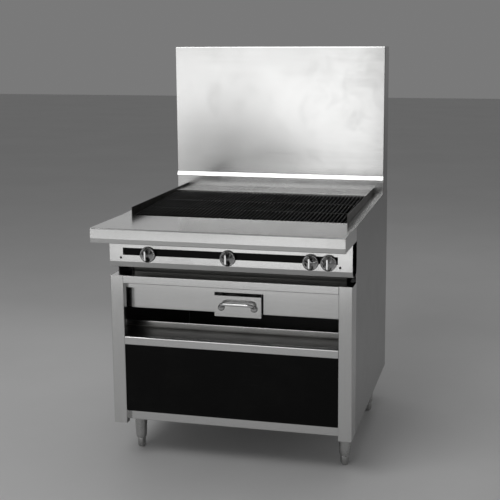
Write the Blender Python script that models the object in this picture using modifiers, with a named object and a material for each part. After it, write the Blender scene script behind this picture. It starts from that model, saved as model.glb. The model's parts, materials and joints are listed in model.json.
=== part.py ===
"""A free-standing gas charbroiler: a cabinet on four legs, with a sloped grate bed and a high riser.

Metres, +Z up. The origin is on the floor, under the middle of the outer box, and -Y is the cook's side.
Depths are measured backwards from the front face of the cabinet, and at() turns one into a world Y.
"""

import math

import bmesh
import bpy
from mathutils import Matrix, Vector

# Overall size
WIDTH = 0.914
DEPTH = 1.067
HEIGHT = 1.565
LEG_HEIGHT = 0.150
BASE_TOP = 0.724
WORK_HEIGHT = 0.930
RAIL_REACH = 0.160  # how far the front rail stands out past the cabinet

# Sheet metal and fits
SHEET = 0.0015
WALL = 0.0025  # the firebox's walls
CLEAR = 0.0003  # between pieces that touch
SMALL_BEND = 0.002  # outer radii of bends
BEND = 0.003
WIDE_BEND = 0.004
HEM = 0.007

# Places worked out from the above
FRONT = RAIL_REACH - DEPTH / 2
BODY_DEPTH = DEPTH - RAIL_REACH
HALF = WIDTH / 2
INNER = HALF - SHEET - CLEAR  # half width between the side panels

# Base cabinet
POST_WIDTH = 0.051
POST_WRAP = 0.080  # how far a post wraps round onto the side
RAIL_SETBACK = 0.027
TOP_RAIL = (0.694, BASE_TOP)
TOP_RAIL_LIP = 0.674
MIDDLE_RAIL = (0.459, 0.490)
BOTTOM_RAIL = (0.157, 0.205)
SHELF_DEPTH = 0.137
SHELF_UPTURN = 0.029
BACK_RECESS = 0.030
OPENING = HALF - POST_WIDTH - CLEAR  # half width between the posts
FLOOR_Z = BOTTOM_RAIL[0] + SHEET + CLEAR

# Legs and feet
LEG_DEPTHS = (0.144, 0.724)
LEG_X = 0.408
LEG_TOP_RADIUS = 0.0255
LEG_FOOT_RADIUS = 0.0185
FOOT_HEIGHT = 0.038
FOOT_RADIUS = 0.0175  # to its corners
LEG_BORE = 0.0075
LEG_BORE_TOP = 0.130

# Grate bed and firebox
GRATE_COUNT = 6
BARS = 9
BED_FRONT = 0.125
BED_BACK = 0.622
GUARD_X = 0.416  # outer faces of the firebox's side walls
FIREBOX_INNER = GUARD_X - WALL - CLEAR
FIREBOX_FLOOR = 0.700
GRATE_THICK = 0.018
GRATE_END = 0.012
GRATE_FRONT_Z = 0.932
GRATE_BACK_Z = 0.956
GUARD_TOP = (0.961, 0.970)
LEDGE_Z = 0.961
SIDE_TOP = (WORK_HEIGHT, 0.947)

# Riser
RISER_DEPTH = 0.140
RISER_FRONT = BODY_DEPTH - RISER_DEPTH
RISER_HALF = HALF - 0.001
SPLASH_LIP = (1.004, 1.023)
LIP_REACH = (0.0100, 0.0015)  # of its lower and upper edges, out from the riser's face

# Controls and gas
KNOB_Z = 0.808
BURNER_X = (-0.305, 0.0, 0.305)
PILOT_X = 0.370
VALVE_X = (*BURNER_X, PILOT_X)
KNOB_RADIUS = 0.029
STEM_RADIUS = 0.0032
STEM_LENGTH = 0.0145
RAIL_FACE = 0.055
RAIL_LEAN = 0.0022  # how far the face leans in below its crease
RAIL_CREASE = 0.018  # the crease's height above the face's lower edge
PANEL_BEND = 0.777
PANEL_BOTTOM = 0.755
PANEL_SLOT_Z = (0.8025, 0.830)
PANEL_SLOT_HALF = 0.403
PANEL_NOTCH = 0.024  # radius of the slot's round bays
PIPE_RADIUS = 0.0135
MANIFOLD_DEPTH = 0.060
MANIFOLD_Z = 0.775
SUPPLY_X = 0.435

# Grease drawer
DRAWER_X = (-0.065, 0.113)
DRAWER_FACE = 0.038
DRAWER_BACK = 0.430
DRAWER_FRONT_Z = (0.580, 0.658)
DRAWER_FRONT_THICK = 0.002
TRAY_Z = (0.585, 0.644)
TRAY_INSET = 0.010  # from the edges of the drawer's front to its tray
PAN_LOW = 0.690
SKIRT_DEPTH = 0.054
SKIRT_Z = (0.589, 0.676)
HANDLE_SPACING = 0.125
HANDLE_DROP = 0.005  # below the middle of the drawer's front

ROUND = 16  # sides of a turned piece
SMOOTH_ANGLE = 35.0  # degrees; sharper edges stay sharp
WELD = 0.00001
PLANES = {
    "XY": (0.0, 0.0, 0.0),
    "XZ": (math.pi / 2, 0.0, 0.0),
    "YZ": (math.pi / 2, 0.0, math.pi / 2),
}


def at(depth):
    return FRONT + depth


def clear_scene():
    for obj in list(bpy.data.objects):
        bpy.data.objects.remove(obj, do_unlink=True)


def new_collection(name):
    found = bpy.data.collections.new(name)
    bpy.context.scene.collection.children.link(found)
    return found


def material(name, colour, roughness, metallic):
    made = bpy.data.materials.new(name)
    made.use_nodes = True
    shader = made.node_tree.nodes["Principled BSDF"]
    shader.inputs["Base Color"].default_value = (*colour, 1.0)
    shader.inputs["Roughness"].default_value = roughness
    shader.inputs["Metallic"].default_value = metallic
    return made


FINISHES = {
    "stainless": ((0.62, 0.62, 0.61), 0.32, 1.0),
    "chrome": ((0.80, 0.80, 0.80), 0.08, 1.0),
    "black": ((0.012, 0.012, 0.012), 0.38, 0.0),
    "iron": ((0.020, 0.019, 0.018), 0.60, 0.2),
    "brass": ((0.55, 0.42, 0.18), 0.35, 1.0),
    "pipe": ((0.10, 0.10, 0.10), 0.45, 0.8),
}


def place(obj, finish):
    """Puts an object in the model with a material of its own."""
    obj.data.materials.clear()
    obj.data.materials.append(material(obj.name, *FINISHES[finish]))
    MODEL.objects.link(obj)
    return obj


def cutter(obj):
    CUTTERS.objects.link(obj)
    obj.hide_render = True
    obj.display_type = "WIRE"
    return obj


# Basic shapes: each returns an object that is in no collection yet


def box_mesh(name, boxes):
    """Boxes given by their low and high corners, in one mesh."""
    shape = bmesh.new()
    for lo, hi in boxes:
        size = Vector(hi) - Vector(lo)
        centre = (Vector(hi) + Vector(lo)) / 2
        matrix = Matrix.Translation(centre) @ Matrix.Diagonal((*size, 1.0))
        bmesh.ops.create_cube(shape, size=1.0, matrix=matrix)
    mesh = bpy.data.meshes.new(name)
    shape.to_mesh(mesh)
    shape.free()
    return mesh


def box(name, lo, hi):
    return bpy.data.objects.new(name, box_mesh(name, [(lo, hi)]))


def filleted(path, radius, steps=3):
    """The path with each inner corner replaced by an arc."""
    points = [Vector(p) for p in path]
    out = [points[0]]
    for before, corner, after in zip(points, points[1:], points[2:]):
        a = (before - corner).normalized()
        b = (after - corner).normalized()
        half = a.angle(b) / 2
        shorter = min((before - corner).length, (after - corner).length)
        reach = min(radius / math.tan(half), shorter / 2.1)
        bend = reach * math.tan(half)
        centre = corner + (a + b).normalized() * (bend / math.sin(half))
        start = corner + a * reach - centre
        end = corner + b * reach - centre
        turn = start.angle_signed(end)
        for i in range(steps + 1):
            angle = -turn * i / steps
            out.append(centre + Matrix.Rotation(angle, 2) @ start)
    out.append(points[-1])
    return out


def poly_curve(name, points, closed):
    curve = bpy.data.curves.new(name, "CURVE")
    spline = curve.splines.new("POLY")
    spline.points.add(len(points) - 1)
    for point, place_at in zip(spline.points, points):
        point.co = (*place_at, *([0.0] * (3 - len(place_at))), 1.0)
    spline.use_cyclic_u = closed
    return curve


def bent_sheet(name, path, plane, low, high, thick=SHEET, bend=BEND, tilt=0.0):
    """A sheet folded along a path in a plane, from low to high across it.

    The path is the sheet's left face, and its thickness lies to the right of the way the path runs.
    """
    curve = poly_curve(name, filleted(path, bend) if bend else [Vector(p) for p in path], False)
    curve.dimensions = "2D"
    curve.fill_mode = "NONE"
    curve.extrude = (high - low) / 2
    obj = bpy.data.objects.new(name, curve)
    set_plane(obj, plane, (low + high) / 2, tilt)
    solid = obj.modifiers.new("Sheet", "SOLIDIFY")
    solid.thickness = thick
    solid.offset = -1.0
    solid.use_even_offset = True
    return obj


def plate(name, outline, plane, low, high):
    """A flat outline in a plane, from low to high across it."""
    curve = poly_curve(name, outline, True)
    curve.dimensions = "2D"
    curve.fill_mode = "BOTH"
    curve.extrude = (high - low) / 2
    obj = bpy.data.objects.new(name, curve)
    set_plane(obj, plane, (low + high) / 2)
    return obj


def set_plane(obj, plane, across, tilt=0.0):
    x, y, z = PLANES[plane]
    obj.rotation_euler = (x + tilt, y, z)
    obj.location = {"XY": (0, 0, across), "XZ": (0, across, 0), "YZ": (across, 0, 0)}[plane]


def turned(name, profile, axis="Z", segments=ROUND):
    """A profile of (radius, height) points, top to bottom, turned about an axis through the origin."""
    mesh = bpy.data.meshes.new(name)
    points = [(r, 0.0, z) for r, z in profile]
    mesh.from_pydata(points, [(i, i + 1) for i in range(len(points) - 1)], [])
    obj = bpy.data.objects.new(name, mesh)
    screw = obj.modifiers.new("Turn", "SCREW")
    screw.steps = segments
    screw.render_steps = segments
    screw.use_merge_vertices = True
    screw.merge_threshold = WELD
    obj.rotation_euler = {"Z": (0, 0, 0), "-Y": (math.pi / 2, 0, 0)}[axis]
    return obj


def rod(radius, low, high):
    """The profile of a plain cylinder."""
    return [(0, high), (radius, high), (radius, low), (0, low)]


def tube(name, points, radius, resolution=3):
    curve = poly_curve(name, points, False)
    curve.dimensions = "3D"
    curve.bevel_depth = radius
    curve.bevel_resolution = resolution
    curve.use_fill_caps = True
    return bpy.data.objects.new(name, curve)


def as_mesh(obj):
    """The same object as a welded mesh with its modifiers applied, so that it can be cut and joined."""
    bpy.context.scene.collection.objects.link(obj)
    graph = bpy.context.evaluated_depsgraph_get()
    mesh = bpy.data.meshes.new_from_object(obj.evaluated_get(graph))
    shape = bmesh.new()
    shape.from_mesh(mesh)
    bmesh.ops.remove_doubles(shape, verts=shape.verts, dist=WELD)
    bmesh.ops.recalc_face_normals(shape, faces=shape.faces)
    shape.to_mesh(mesh)
    shape.free()
    name = obj.name
    made = bpy.data.objects.new(name, mesh)
    made.matrix_world = obj.matrix_world.copy()
    bpy.data.objects.remove(obj, do_unlink=True)
    made.name = name
    return made


def boolean(obj, other, operation):
    change = obj.modifiers.new(operation.title(), "BOOLEAN")
    change.operation = operation
    change.solver = "EXACT"
    change.object = other
    return obj


def cut(obj, other):
    return boolean(obj, cutter(other), "DIFFERENCE")


def join(obj, other):
    return boolean(obj, cutter(other), "UNION")


def drill(obj, name, radius, x, depth, z):
    """A round hole from front to back, where the sheet stands at this depth."""
    reach = 0.03
    hole = turned(name, rod(radius, -reach, reach), "-Y")
    hole.location = (x, at(depth), z)
    return cut(obj, hole)


def smooth(obj):
    """The same object as a mesh, with its round faces shaded smooth and its edges left sharp."""
    made = as_mesh(obj)
    made.data.shade_smooth()
    made.data.set_sharp_from_angle(angle=math.radians(SMOOTH_ANGLE))
    return made


def span(side, first, second):
    """Two distances from the middle plane, as the low and high X on the side wanted."""
    return sorted((side * first, side * second))


def name_side(side):
    return "left" if side < 0 else "right"


def mirrored(path, side):
    """A path drawn for the right side, in order for the side wanted."""
    if side > 0:
        return path
    return [(-x, y) for x, y in reversed(path)]


# Base cabinet


def side_panel(side):
    front, back = POST_WRAP + CLEAR, BODY_DEPTH
    under = SHEET + CLEAR
    outline = [
        (at(front), LEG_HEIGHT),
        (at(back), LEG_HEIGHT),
        (at(back), SIDE_TOP[1] - under),
        (at(RISER_FRONT), SIDE_TOP[1] - under),
        (at(BED_FRONT), SIDE_TOP[0] - under),
        (at(front), SIDE_TOP[0] - under),
    ]
    low, high = span(side, HALF, HALF - SHEET)
    place(plate(f"{name_side(side)}_side_panel", outline, "YZ", low, high), "stainless")


def post(side):
    """A corner post: a sheet that runs round the corner and returns into the cabinet, closed at its top."""
    inner = HALF - POST_WIDTH
    path = [
        (HALF, at(POST_WRAP)),
        (HALF, at(0)),
        (inner, at(0)),
        (inner, at(RAIL_SETBACK - CLEAR)),
    ]
    name = f"{name_side(side)}_post"
    obj = as_mesh(bent_sheet(name, mirrored(path, side), "XY", LEG_HEIGHT, BASE_TOP))
    low_x, high_x = span(side, inner + SHEET / 2, HALF - SHEET / 2)
    cap = box(
        f"{name}_cap",
        (low_x, at(SHEET / 2), BASE_TOP - 2 * SHEET),
        (high_x, at(POST_WRAP - SHEET), BASE_TOP - SHEET / 2),
    )
    place(join(obj, cap), "stainless")


def top_front_rail():
    low, high = TOP_RAIL
    path = [
        (at(RAIL_SETBACK), TOP_RAIL_LIP),
        (at(RAIL_SETBACK), low),
        (at(0), low),
        (at(0), high),
        (at(POST_WRAP), high),
    ]
    place(bent_sheet("top_front_rail", path, "YZ", -OPENING, OPENING), "stainless")


def channel_rail(name, heights, face, half):
    low, high = heights
    path = [
        (at(face + RAIL_SETBACK), low),
        (at(face), low),
        (at(face), high),
        (at(face + RAIL_SETBACK), high),
    ]
    place(bent_sheet(name, path, "YZ", -half, half), "stainless")


def front_rails():
    top_front_rail()
    channel_rail("middle_front_rail", MIDDLE_RAIL, 0.0, OPENING)
    channel_rail("bottom_front_rail", BOTTOM_RAIL, RAIL_SETBACK, INNER)


def cabinet_floor():
    lo = (-INNER, at(RAIL_SETBACK + SHEET + BEND), FLOOR_Z)
    hi = (INNER, at(BODY_DEPTH - BACK_RECESS - CLEAR), FLOOR_Z + SHEET)
    place(box("cabinet_floor", lo, hi), "stainless")


def middle_shelf():
    """A shelf that laps the middle rail at its front and turns up into a hemmed edge at its back."""
    level = MIDDLE_RAIL[1] - SHEET
    top = level + SHELF_UPTURN
    path = [
        (at(SHELF_DEPTH - HEM), top - HEM),
        (at(SHELF_DEPTH - HEM), top),
        (at(SHELF_DEPTH), top),
        (at(SHELF_DEPTH), level),
        (at(RAIL_SETBACK + CLEAR), level),
    ]
    place(bent_sheet("middle_shelf", path, "YZ", -INNER, INNER, bend=SMALL_BEND), "stainless")


def lower_panel():
    half = OPENING - CLEAR
    face, fold = 0.004, 0.022
    low = BOTTOM_RAIL[1] - 0.006
    high = MIDDLE_RAIL[0] - CLEAR
    path = [(half, at(fold)), (half, at(face)), (-half, at(face)), (-half, at(fold))]
    place(bent_sheet("lower_panel", path, "XY", low, high), "black")


def back_panel():
    high = SIDE_TOP[1] - SHEET - CLEAR
    face = BODY_DEPTH - BACK_RECESS
    path = [
        (at(BODY_DEPTH), FLOOR_Z),
        (at(face), FLOOR_Z),
        (at(face), high),
        (at(BODY_DEPTH), high),
    ]
    obj = as_mesh(bent_sheet("back_panel", path, "YZ", -INNER, INNER))
    gap = 0.004
    drill(obj, "gas_inlet_hole", PIPE_RADIUS + gap, SUPPLY_X, face, MANIFOLD_Z)
    place(obj, "stainless")


# Legs and feet


def leg(name, x, depth):
    """A tapered leg under a round flange, bored from below for the foot's stem."""
    top = BOTTOM_RAIL[0] + SHEET
    flange, flange_thick, edge = 0.036, 0.004, 0.002
    profile = [
        (0, top),
        (flange, top),
        (flange, top - flange_thick),
        (LEG_TOP_RADIUS, top - flange_thick),
        (LEG_FOOT_RADIUS, FOOT_HEIGHT + edge),
        (LEG_FOOT_RADIUS - edge, FOOT_HEIGHT),
        (LEG_BORE, FOOT_HEIGHT),
        (LEG_BORE, LEG_BORE_TOP),
        (0, LEG_BORE_TOP),
    ]
    obj = smooth(turned(name, profile))
    obj.location = (x, at(depth), 0)
    place(obj, "stainless")


def foot(name, x, depth):
    """A hexagonal foot on a stem that screws up into the leg."""
    top = FOOT_HEIGHT - CLEAR
    base, chamfer, edge = 0.0120, 0.008, 0.002
    profile = [
        (0, top),
        (FOOT_RADIUS - edge, top),
        (FOOT_RADIUS, top - edge),
        (FOOT_RADIUS, chamfer),
        (base, 0.0),
        (0, 0.0),
    ]
    obj = as_mesh(turned(name, profile, segments=6))
    stem = smooth(turned(f"{name}_stem", rod(LEG_BORE - 0.0005, top - edge, LEG_BORE_TOP - 0.030)))
    for piece in (obj, stem):
        piece.location = (x, at(depth), 0)
    place(join(obj, stem), "stainless")


def legs():
    for end, depth in zip(("front", "rear"), LEG_DEPTHS):
        for side in (-1, 1):
            name = f"{end}_{name_side(side)}"
            leg(f"{name}_leg", side * LEG_X, depth)
            foot(f"{name}_foot", side * LEG_X, depth)


# Front rail, controls and gas


def front_rail():
    """The deep rail along the cook's side, with a closed end on each side."""
    face_low = WORK_HEIGHT - RAIL_FACE
    lip, half_sheet = 0.022, SHEET / 2
    crease_z = face_low + RAIL_CREASE
    path = [
        (at(lip - RAIL_REACH), face_low),
        (at(RAIL_LEAN - RAIL_REACH), face_low),
        (at(-RAIL_REACH), crease_z),
        (at(-RAIL_REACH), WORK_HEIGHT),
        (at(BED_FRONT), WORK_HEIGHT),
    ]
    end = [
        (at(POST_WRAP), face_low + half_sheet),
        (at(RAIL_LEAN - RAIL_REACH) + half_sheet, face_low + half_sheet),
        (at(-RAIL_REACH) + half_sheet, crease_z),
        (at(-RAIL_REACH) + half_sheet, WORK_HEIGHT - half_sheet),
        (at(POST_WRAP), WORK_HEIGHT - half_sheet),
    ]
    obj = as_mesh(bent_sheet("front_rail", path, "YZ", -HALF, HALF, bend=WIDE_BEND))
    for side in (-1, 1):
        low, high = span(side, HALF - CLEAR, HALF - CLEAR - SHEET)
        join(obj, as_mesh(plate(f"rail_end_{name_side(side)}", end, "YZ", low, high)))
    place(obj, "stainless")


def control_panel():
    """The panel behind the knobs, slotted from end to end, with its lower edge folded back."""
    top = WORK_HEIGHT - SHEET - CLEAR
    lean, fold = 0.012, 0.020
    path = [
        (at(0.030), PANEL_BOTTOM),
        (at(lean), PANEL_BOTTOM),
        (at(0), PANEL_BEND),
        (at(0), top),
        (at(fold), top),
    ]
    obj = as_mesh(bent_sheet("control_panel", path, "YZ", -INNER, INNER))
    low, high = PANEL_SLOT_Z
    cut(obj, box("panel_slot", (-PANEL_SLOT_HALF, at(-0.01), low), (PANEL_SLOT_HALF, at(0.01), high)))
    for i, x in enumerate(VALVE_X):
        drill(obj, f"panel_notch_{i}", PANEL_NOTCH, x, 0.0, KNOB_Z)
    place(obj, "stainless")


def valve_bezel():
    """The black strip that closes the panel's slot from behind."""
    half, depth, top = 0.430, 0.006, 0.860
    obj = box("valve_bezel", (-half, at(depth), MANIFOLD_Z), (half, at(depth + SHEET), top))
    for i, x in enumerate(VALVE_X):
        drill(obj, f"bezel_hole_{i}", 2 * STEM_RADIUS, x, depth, KNOB_Z)
    place(obj, "black")


def knob(name, x):
    """A domed disc with a grip across it. Heights in the profile run outwards from the panel's face."""
    bore = STEM_RADIUS + CLEAR
    bore_end = STEM_LENGTH + 2 * CLEAR
    back, rim, edge = 0.0030, 0.0100, 0.0010
    profile = [
        (0, 0.0200),
        (0.0170, 0.0195),
        (0.0240, 0.0160),
        (0.0270, 0.0120),
        (KNOB_RADIUS, rim),
        (KNOB_RADIUS, back + edge),
        (KNOB_RADIUS - 2 * edge, back),
        (bore, back),
        (bore, bore_end),
        (0, bore_end),
    ]
    half_width, half_length, root, top = 0.0065, 0.0265, 0.0160, 0.0340
    obj = smooth(turned(name, profile, "-Y"))
    obj.location = (x, at(0), KNOB_Z)
    grip = box(f"{name}_grip", (-half_width, -half_length, root), (half_width, half_length, top))
    grip.rotation_euler = obj.rotation_euler
    grip.location = obj.location
    place(join(obj, grip), "chrome")


def valve(name, x):
    """A gas valve. Its stem runs forwards into the knob, and its hood back towards the burner."""
    nut, body, hood = 0.0080, 0.0125, 0.0070
    nut_end, body_start, body_end, hood_end = -0.030, -0.046, -0.074, -0.098
    profile = [
        (0, STEM_LENGTH),
        (STEM_RADIUS, STEM_LENGTH),
        (STEM_RADIUS, nut_end),
        (nut, nut_end),
        (nut, body_start + 0.002),
        (body, body_start),
        (body, body_end),
        (hood, body_end - 0.004),
        (hood, hood_end),
        (0, hood_end),
    ]
    obj = smooth(turned(name, profile, "-Y", 14))
    obj.location = (x, at(0), KNOB_Z)
    top = KNOB_Z - 0.006 - MANIFOLD_Z
    inlet = smooth(turned(f"{name}_inlet", rod(0.0075, PIPE_RADIUS + CLEAR, top), "Z", 12))
    inlet.location = (x, at(MANIFOLD_DEPTH), MANIFOLD_Z)
    place(join(obj, inlet), "brass")


def gas_pipes():
    """The manifold along the valves, and the pipe that brings the gas to it from the back."""
    start, end = -0.400, SUPPLY_X - PIPE_RADIUS - CLEAR
    y = at(MANIFOLD_DEPTH)
    manifold = tube("gas_manifold", [(start, y, MANIFOLD_Z), (end, y, MANIFOLD_Z)], PIPE_RADIUS)
    place(manifold, "pipe")
    ends = [(SUPPLY_X, at(depth), MANIFOLD_Z) for depth in (0.036, BODY_DEPTH - 0.002)]
    place(tube("gas_supply_pipe", ends, PIPE_RADIUS), "pipe")


def burner(name, x):
    """A cast tube burner. Heights in its profile run forwards from the cabinet's face, up to its mouth."""
    mouth, tail = -0.1013, -0.600
    throat, tube_radius, pin = 0.0145, 0.024, 0.006
    profile = [
        (0, mouth - 0.030),
        (0.012, mouth - 0.030),
        (0.017, mouth),
        (0.019, mouth),
        (throat, mouth - 0.040),
        (throat, mouth - 0.055),
        (tube_radius, mouth - 0.080),
        (tube_radius, tail + 0.008),
        (0.019, tail),
        (pin, tail),
        (pin, tail - 0.024),
        (0, tail - 0.024),
    ]
    obj = smooth(turned(name, profile, "-Y"))
    obj.location = (x, at(0), KNOB_Z)
    place(obj, "iron")


def radiant(name, x):
    """A cast roof over a burner, which turns its flame into radiant heat."""
    wing, ridge, low, high, thick = 0.118, 0.022, 0.850, 0.884, 0.005
    edge = FIREBOX_INNER - CLEAR - 0.004
    path = [(x + wing, low), (x + ridge, high), (x - ridge, high), (x - wing, low)]
    path = [(max(-edge, min(edge, px)), pz) for px, pz in path]
    place(bent_sheet(name, path, "XZ", at(0.160), at(0.590), thick=thick, bend=0), "iron")


def burner_set():
    for side, x in zip(("left", "centre", "right"), BURNER_X):
        knob(f"{side}_burner_knob", x)
        valve(f"{side}_burner_valve", x)
        burner(f"{side}_burner", x)
        radiant(f"{side}_radiant", x)
    knob("pilot_knob", PILOT_X)
    valve("pilot_valve", PILOT_X)


# Firebox and grates


def firebox_side(side):
    front, back = BED_FRONT + CLEAR, RISER_FRONT - 0.002
    toe, notch = BED_FRONT - 0.008, WORK_HEIGHT - 0.020
    outline = [
        (at(toe), FIREBOX_FLOOR),
        (at(back), FIREBOX_FLOOR),
        (at(back), GUARD_TOP[1]),
        (at(front), GUARD_TOP[0]),
        (at(front), notch),
        (at(toe), notch),
    ]
    low, high = span(side, GUARD_X, GUARD_X - WALL)
    place(plate(f"{name_side(side)}_firebox_wall", outline, "YZ", low, high), "black")


def firebox_end(name, path, depth, hole):
    """A wall across the firebox that turns over into the grates' seat, with a hole for each burner."""
    obj = as_mesh(bent_sheet(name, path, "YZ", -FIREBOX_INNER, FIREBOX_INNER, WALL))
    for i, x in enumerate(BURNER_X):
        drill(obj, f"{name}_hole_{i}", hole, x, depth, KNOB_Z)
    place(obj, "black")


def firebox():
    for side in (-1, 1):
        firebox_side(side)
    seat, gap = 0.024, 0.0015
    start = BED_FRONT + CLEAR
    level = GRATE_FRONT_Z - GRATE_THICK - gap
    front = [(at(start), FIREBOX_FLOOR), (at(start), level), (at(start + seat), level)]
    firebox_end("front_firebox_wall", front, BED_FRONT, 0.021)
    level = GRATE_BACK_Z - GRATE_THICK - gap
    back = [(at(BED_BACK - seat), level), (at(BED_BACK), level), (at(BED_BACK), FIREBOX_FLOOR)]
    firebox_end("rear_firebox_wall", back, BED_BACK, 0.007)


def side_ledge(side):
    """The strip beside the grates, which slopes up towards the riser."""
    rise, run = SIDE_TOP[1] - SIDE_TOP[0], RISER_FRONT - BED_FRONT
    slope = math.atan2(rise, run)
    half_length = (run - 0.002) / math.cos(slope) / 2
    inner, fold = GUARD_X + CLEAR, 0.020
    path = mirrored([(inner, -fold), (inner, 0.0), (HALF, 0.0)], side)
    name = f"{name_side(side)}_ledge"
    obj = bent_sheet(name, path, "XZ", -half_length, half_length, tilt=slope)
    obj.location = (0, at(BED_FRONT + run / 2), SIDE_TOP[0] + rise / 2)
    place(obj, "stainless")


def rear_ledge():
    fold = 0.030
    path = [
        (at(BED_BACK + CLEAR), LEDGE_Z - fold),
        (at(BED_BACK + CLEAR), LEDGE_Z),
        (at(RISER_FRONT - CLEAR), LEDGE_Z),
    ]
    place(bent_sheet("rear_ledge", path, "YZ", -FIREBOX_INNER, FIREBOX_INNER), "stainless")


def grate_slots(name, width, length):
    """The gaps between a grate's bars and beside its outer bars, which run along Y between its two ends."""
    pitch = width / BARS
    half_slot = pitch / 4
    end = length / 2 - GRATE_END
    centres = [i * pitch - width / 2 for i in range(BARS + 1)]
    slots = [((x - half_slot, -end, -0.1), (x + half_slot, end, 0.1)) for x in centres]
    return bpy.data.objects.new(name, box_mesh(name, slots))


def grates():
    """Cast grates side by side, sloping up to the back. Each has its origin at the middle of its top."""
    slope = math.atan2(GRATE_BACK_Z - GRATE_FRONT_Z, BED_BACK - BED_FRONT)
    room = 2 * (GUARD_X - WALL - 0.001)
    width = room / GRATE_COUNT - 0.0008
    length = BED_BACK - BED_FRONT - 0.007
    corner = Vector((width / 2, length / 2, 0))
    for i in range(GRATE_COUNT):
        obj = box(f"grate_{i + 1}", (-corner.x, -corner.y, -GRATE_THICK), corner)
        slots = grate_slots(f"grate_slots_{i + 1}", width, length)
        for piece in (obj, slots):
            x = (i - (GRATE_COUNT - 1) / 2) * room / GRATE_COUNT
            piece.location = (x, at((BED_FRONT + BED_BACK) / 2), (GRATE_FRONT_Z + GRATE_BACK_Z) / 2)
            piece.rotation_euler = (slope, 0, 0)
        place(cut(obj, slots), "iron")


# Riser


def lower_splash():
    """The strip under the riser's face, with a sloping lip and ends that reach down to the side ledges."""
    low, high = SPLASH_LIP
    low_reach, high_reach = LIP_REACH
    path = [
        (at(RISER_FRONT), LEDGE_Z + CLEAR),
        (at(RISER_FRONT), low),
        (at(RISER_FRONT - low_reach), low),
        (at(RISER_FRONT - high_reach), high),
        (at(RISER_FRONT + 0.010), high),
    ]
    obj = as_mesh(bent_sheet("lower_splash", path, "YZ", -HALF, HALF, bend=SMALL_BEND))
    for side in (-1, 1):
        low_x, high_x = span(side, GUARD_X + CLEAR, HALF)
        lo = (low_x, at(RISER_FRONT), SIDE_TOP[1] + 2 * CLEAR)
        hi = (high_x, at(RISER_FRONT) + SHEET, LEDGE_Z + SHEET)
        join(obj, box(f"splash_end_{name_side(side)}", lo, hi))
    place(obj, "stainless")


def riser_front():
    """The riser's face, which folds back over the top."""
    path = [
        (at(RISER_FRONT), SPLASH_LIP[1] + CLEAR),
        (at(RISER_FRONT), HEIGHT),
        (at(BODY_DEPTH), HEIGHT),
    ]
    obj = bent_sheet("riser_front", path, "YZ", -RISER_HALF, RISER_HALF, bend=WIDE_BEND)
    place(obj, "stainless")


def riser_shell():
    """The riser's two sides and its back, in one sheet."""
    start = at(RISER_FRONT + SHEET + 0.0125)
    path = [
        (-RISER_HALF, start),
        (-RISER_HALF, at(BODY_DEPTH)),
        (RISER_HALF, at(BODY_DEPTH)),
        (RISER_HALF, start),
    ]
    low, high = SIDE_TOP[1] - SHEET, HEIGHT - SHEET - CLEAR
    place(bent_sheet("riser_shell", path, "XY", low, high), "stainless")


# Grease collection


def drip_pan():
    """A shallow V under the burners, open along its middle above the drawer."""
    half = FIREBOX_INNER - CLEAR
    rim, side_z, lip = 0.760, 0.735, 0.006
    slot_low, slot_high = DRAWER_X[0] + 0.022, DRAWER_X[1] - 0.022
    front, back = BED_FRONT + 0.006, BED_BACK - 0.006
    right = [(half, rim), (half, side_z), (slot_high, PAN_LOW), (slot_high, PAN_LOW - lip)]
    left = [(slot_low, PAN_LOW - lip), (slot_low, PAN_LOW), (-half, side_z), (-half, rim)]
    obj = as_mesh(bent_sheet("drip_pan", right, "XZ", at(front), at(back), bend=0))
    join(obj, as_mesh(bent_sheet("drip_pan_left", left, "XZ", at(front), at(back), bend=0)))
    inset = SHEET / 2
    end = [
        (half - inset, rim),
        (half - inset, side_z),
        (slot_high, PAN_LOW - inset),
        (slot_low, PAN_LOW - inset),
        (-half + inset, side_z),
        (-half + inset, rim),
    ]
    thick = 1.5 * SHEET
    for name, low in (("front", at(front) - inset), ("back", at(back) - SHEET)):
        join(obj, as_mesh(plate(f"drip_pan_{name}", end, "XZ", low, low + thick)))
    place(obj, "stainless")


def drip_skirt():
    """A strip across the cabinet under the burners, cut away up to its top fold for the drawer to pass."""
    low, high = SKIRT_Z
    path = [
        (at(SKIRT_DEPTH + 0.010), low),
        (at(SKIRT_DEPTH), low),
        (at(SKIRT_DEPTH), high),
        (at(SKIRT_DEPTH + 0.025), high),
    ]
    obj = as_mesh(bent_sheet("drip_skirt", path, "YZ", -INNER, INNER))
    gap = 0.0045
    notch = box(
        "drawer_notch",
        (DRAWER_X[0] - gap, at(SKIRT_DEPTH - 0.01), low - 0.01),
        (DRAWER_X[1] + gap, at(SKIRT_DEPTH + 0.02), high - BEND),
    )
    place(cut(obj, notch), "stainless")


def grease_drawer():
    """An open tray behind a wider and taller front."""
    front_back = DRAWER_FACE + DRAWER_FRONT_THICK
    wall = Vector((SHEET, SHEET, SHEET))
    lo = Vector((DRAWER_X[0] + TRAY_INSET, at(front_back - SHEET / 3), TRAY_Z[0]))
    hi = Vector((DRAWER_X[1] - TRAY_INSET, at(DRAWER_BACK), TRAY_Z[1]))
    body = box("grease_drawer", lo, hi)
    above = Vector((0, 0, 0.05))
    cut(body, box("drawer_inside", lo + wall, hi - wall + above))
    front = box(
        "drawer_front",
        (DRAWER_X[0], at(DRAWER_FACE), DRAWER_FRONT_Z[0]),
        (DRAWER_X[1], at(front_back), DRAWER_FRONT_Z[1]),
    )
    place(join(body, front), "stainless")


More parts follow.
